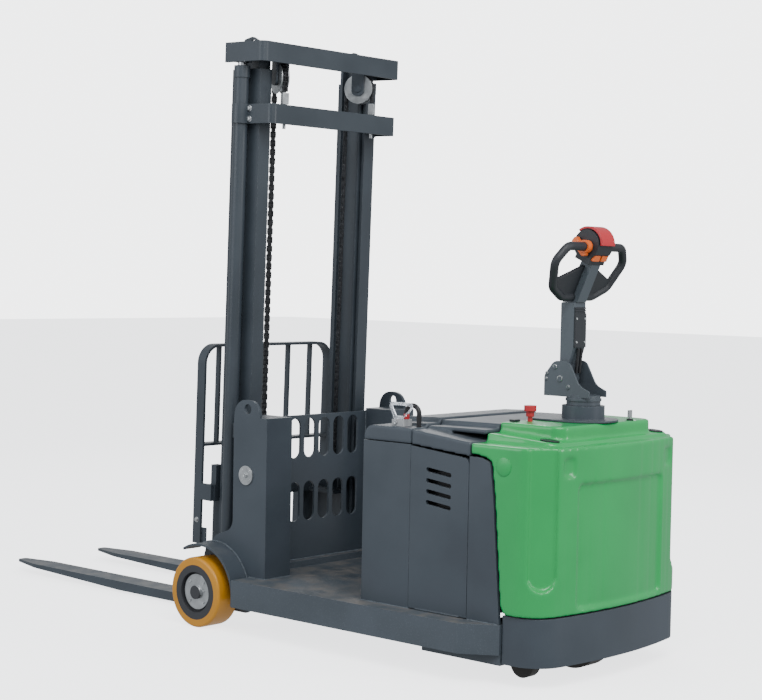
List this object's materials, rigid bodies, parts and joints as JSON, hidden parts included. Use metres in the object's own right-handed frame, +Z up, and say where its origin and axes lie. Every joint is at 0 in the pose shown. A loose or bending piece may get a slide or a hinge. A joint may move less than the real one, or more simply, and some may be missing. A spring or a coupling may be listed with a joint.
{
  "type": "counterbalanced walkie stacker",
  "caption": "Pedestrian battery stacker with a tilting two-stage mast, lift forks, a counterweighted drive end under a moulded hood, and a steering tiller.",
  "frame": {"origin": "under the middle of the truck, on the floor", "axes": "+X along the forks towards their tips, +Y to the truck's left, +Z up"},
  "size_m": [2.8809, 0.98, 2.1087],
  "materials": {
    "frame_paint": "satin",
    "mast_paint": "satin",
    "cover_grey": "matte",
    "hood_green": "gloss",
    "amber_tyre": "satin",
    "hub_black": "satin",
    "zinc": "satin",
    "chrome_rod": "gloss",
    "chain_steel": "oiled",
    "tiller_grey": "satin",
    "tiller_black": "matte",
    "red_plastic": "satin",
    "orange_plastic": "satin",
    "clear_plastic": "clear",
    "plug_grey": "matte",
    "cable_black": "satin",
    "battery_case": "matte",
    "drive_rubber": "matte",
    "motor_black": "satin"
  },
  "bodies": {
    "chassis": {"base_frame": "frame_paint", "mast_supports": "frame_paint", "guard_plate": "frame_paint", "axles_and_pins": "zinc", "rear_bumper": "frame_paint", "battery_housing": "frame_paint", "front_top_cover": "cover_grey", "battery_pack": "battery_case", "rear_hood": "hood_green", "hood_fittings": "tiller_black", "tiller_base_plate": "cover_grey", "battery_connector": "plug_grey", "connector_handle": "clear_plastic", "battery_cable": "cable_black", "power_unit": "motor_black"},
    "left_door": {"left_side_door": "frame_paint"},
    "right_door": {"right_side_door": "frame_paint"},
    "lid": {"battery_lid": "cover_grey"},
    "key": {"key": "zinc"},
    "estop": {"estop_button": "red_plastic"},
    "steering": {"drive_gearbox": "motor_black", "drive_motor": "motor_black", "steering_yoke": "tiller_grey"},
    "drive_wheel": {"drive_wheel": "drive_rubber"},
    "left_caster": {"left_caster_fork": "mast_paint"},
    "left_caster_roll": {"left_caster_wheel": "drive_rubber"},
    "right_caster": {"right_caster_fork": "mast_paint"},
    "right_caster_roll": {"right_caster_wheel": "drive_rubber"},
    "left_load_wheel": {"left_load_tyre": "amber_tyre", "left_load_hub": "hub_black"},
    "right_load_wheel": {"right_load_tyre": "amber_tyre", "right_load_hub": "hub_black"},
    "outer_mast": {"outer_channels": "mast_paint", "tie_bar": "mast_paint", "cylinder_tubes": "mast_paint", "chain_anchors": "zinc", "anchor_chains": "chain_steel"},
    "inner_mast": {"inner_channels": "mast_paint", "mast_rollers": "zinc", "crosshead": "mast_paint", "lift_rods": "chrome_rod", "carriage_chains": "chain_steel"},
    "left_pulley": {"left_pulley": "zinc"},
    "right_pulley": {"right_pulley": "zinc"},
    "carriage": {"carriage_frame": "mast_paint", "backrest": "mast_paint"},
    "left_fork": {"left_fork": "mast_paint"},
    "right_fork": {"right_fork": "mast_paint"},
    "tilt_barrels": {"tilt_barrels": "mast_paint"},
    "tilt_rods": {"tilt_rods": "chrome_rod"},
    "tiller": {"tiller_lower_arm": "tiller_grey", "tiller_rear_cover": "tiller_black", "tiller_cables": "cable_black", "tiller_upper_arm": "tiller_grey", "tiller_head": "tiller_black", "tiller_grips": "tiller_black"},
    "belly_button": {"belly_button": "red_plastic"},
    "throttle": {"throttle": "orange_plastic"},
    "horn_button": {"horn_button": "orange_plastic"},
    "lift_button": {"lift_button": "orange_plastic"}
  },
  "joints": [
    {"name": "mast_tilt", "type": "hinge", "parent": "chassis", "child": "outer_mast", "pos_m": [0.0525, 0, 0.125], "axis": [0, 1, 0], "range_deg": [-2.6, 3.4]},
    {"name": "inner_mast_lift", "type": "slide", "parent": "outer_mast", "child": "inner_mast", "axis": [-0.0244, 0, 0.9997], "range_m": [0, 1.4], "deforming": ["anchor_chains"]},
    {"name": "carriage_lift", "type": "slide", "parent": "inner_mast", "child": "carriage", "axis": [-0.0244, 0, 0.9997], "range_m": [0, 1.4], "deforming": ["carriage_chains"]},
    {"name": "left_pulley_spin", "type": "hinge", "parent": "inner_mast", "child": "left_pulley", "pos_m": [-0.05439, 0.21, 1.96094], "axis": [0.3906, 0.9205, 0.0095], "continuous": true},
    {"name": "right_pulley_spin", "type": "hinge", "parent": "inner_mast", "child": "right_pulley", "pos_m": [-0.05439, -0.21, 1.96094], "axis": [-0.3906, 0.9205, -0.0095], "continuous": true},
    {"name": "left_fork_slide", "type": "slide", "parent": "carriage", "child": "left_fork", "axis": [0, 1, 0], "range_m": [-0.13, 0.025]},
    {"name": "right_fork_slide", "type": "slide", "parent": "carriage", "child": "right_fork", "axis": [0, -1, 0], "range_m": [-0.13, 0.025]},
    {"name": "tilt_barrel_swing", "type": "hinge", "parent": "chassis", "child": "tilt_barrels", "pos_m": [-0.0985, 0, 0.549], "axis": [0, 1, 0], "range_deg": [-7, 9]},
    {"name": "tilt_rod_slide", "type": "slide", "parent": "tilt_barrels", "child": "tilt_rods", "axis": [0.5506, 0, 0.8348], "range_m": [-0.02, 0.025]},
    {"name": "left_load_wheel_spin", "type": "hinge", "parent": "chassis", "child": "left_load_wheel", "pos_m": [0.0525, 0.441, 0.125], "axis": [0, 1, 0], "continuous": true},
    {"name": "right_load_wheel_spin", "type": "hinge", "parent": "chassis", "child": "right_load_wheel", "pos_m": [0.0525, -0.441, 0.125], "axis": [0, 1, 0], "continuous": true},
    {"name": "steering_swivel", "type": "hinge", "parent": "chassis", "child": "steering", "pos_m": [-1.2625, 0, 0.3], "axis": [0, 0, 1], "range_deg": [-90, 90]},
    {"name": "drive_wheel_spin", "type": "hinge", "parent": "steering", "child": "drive_wheel", "pos_m": [-1.2625, 0, 0.115], "axis": [0, 1, 0], "continuous": true},
    {"name": "left_caster_swivel", "type": "hinge", "parent": "chassis", "child": "left_caster", "pos_m": [-1.2095, 0.248, 0.16], "axis": [0, 0, 1], "continuous": true},
    {"name": "left_caster_spin", "type": "hinge", "parent": "left_caster", "child": "left_caster_roll", "pos_m": [-1.2375, 0.248, 0.045], "axis": [0, 1, 0], "continuous": true},
    {"name": "right_caster_swivel", "type": "hinge", "parent": "chassis", "child": "right_caster", "pos_m": [-1.2095, -0.248, 0.16], "axis": [0, 0, 1], "continuous": true},
    {"name": "right_caster_spin", "type": "hinge", "parent": "right_caster", "child": "right_caster_roll", "pos_m": [-1.2375, -0.248, 0.045], "axis": [0, 1, 0], "continuous": true},
    {"name": "tiller_tilt", "type": "hinge", "parent": "steering", "child": "tiller", "pos_m": [-1.2025, 0, 0.937], "axis": [0, -1, 0], "range_deg": [0, 72], "stiffness_Nm_per_rad": 35, "springref_deg": -34.38},
    {"name": "belly_button_press", "type": "slide", "parent": "tiller", "child": "belly_button", "axis": [0.5, 0, -0.866], "range_m": [0, 0.0035], "stiffness_N_per_m": 800},
    {"name": "throttle_turn", "type": "hinge", "parent": "tiller", "child": "throttle", "pos_m": [-1.2955, 0, 1.368], "axis": [0, 1, 0], "range_deg": [-25, 25], "stiffness_Nm_per_rad": 1},
    {"name": "horn_button_press", "type": "slide", "parent": "tiller", "child": "horn_button", "axis": [0.9135, 0, 0.4067], "range_m": [0, 0.004], "stiffness_N_per_m": 300},
    {"name": "lift_button_press", "type": "slide", "parent": "tiller", "child": "lift_button", "axis": [0.9135, 0, 0.4067], "range_m": [0, 0.004], "stiffness_N_per_m": 300},
    {"name": "estop_press", "type": "slide", "parent": "chassis", "child": "estop", "axis": [0, 0, -1], "range_m": [0, 0.006]},
    {"name": "key_turn", "type": "hinge", "parent": "chassis", "child": "key", "pos_m": [-1.3435, -0.15, 0.8], "axis": [0, 0, 1], "range_deg": [0, 90]},
    {"name": "lid_hinge", "type": "hinge", "parent": "chassis", "child": "lid", "pos_m": [-1.0025, -0.4135, 0.725], "axis": [1, 0, 0], "range_deg": [0, 95]},
    {"name": "left_door_hinge", "type": "hinge", "parent": "chassis", "child": "left_door", "pos_m": [-1.0015, 0.41, 0.193], "axis": [-1, 0, 0], "range_deg": [0, 70]},
    {"name": "right_door_hinge", "type": "hinge", "parent": "chassis", "child": "right_door", "pos_m": [-1.0015, -0.41, 0.193], "axis": [1, 0, 0], "range_deg": [0, 70]}
  ],
  "couplings": [
    {"joint": "carriage_lift", "follows": "inner_mast_lift", "ratio": 1},
    {"joint": "left_pulley_spin", "follows": "inner_mast_lift", "rad_per_m": -19.493},
    {"joint": "right_pulley_spin", "follows": "inner_mast_lift", "rad_per_m": -19.493},
    {"joint": "tilt_barrel_swing", "follows": "mast_tilt", "ratio": 2.5299},
    {"joint": "tilt_rod_slide", "follows": "mast_tilt", "m_per_rad": 0.3645}
  ]
}
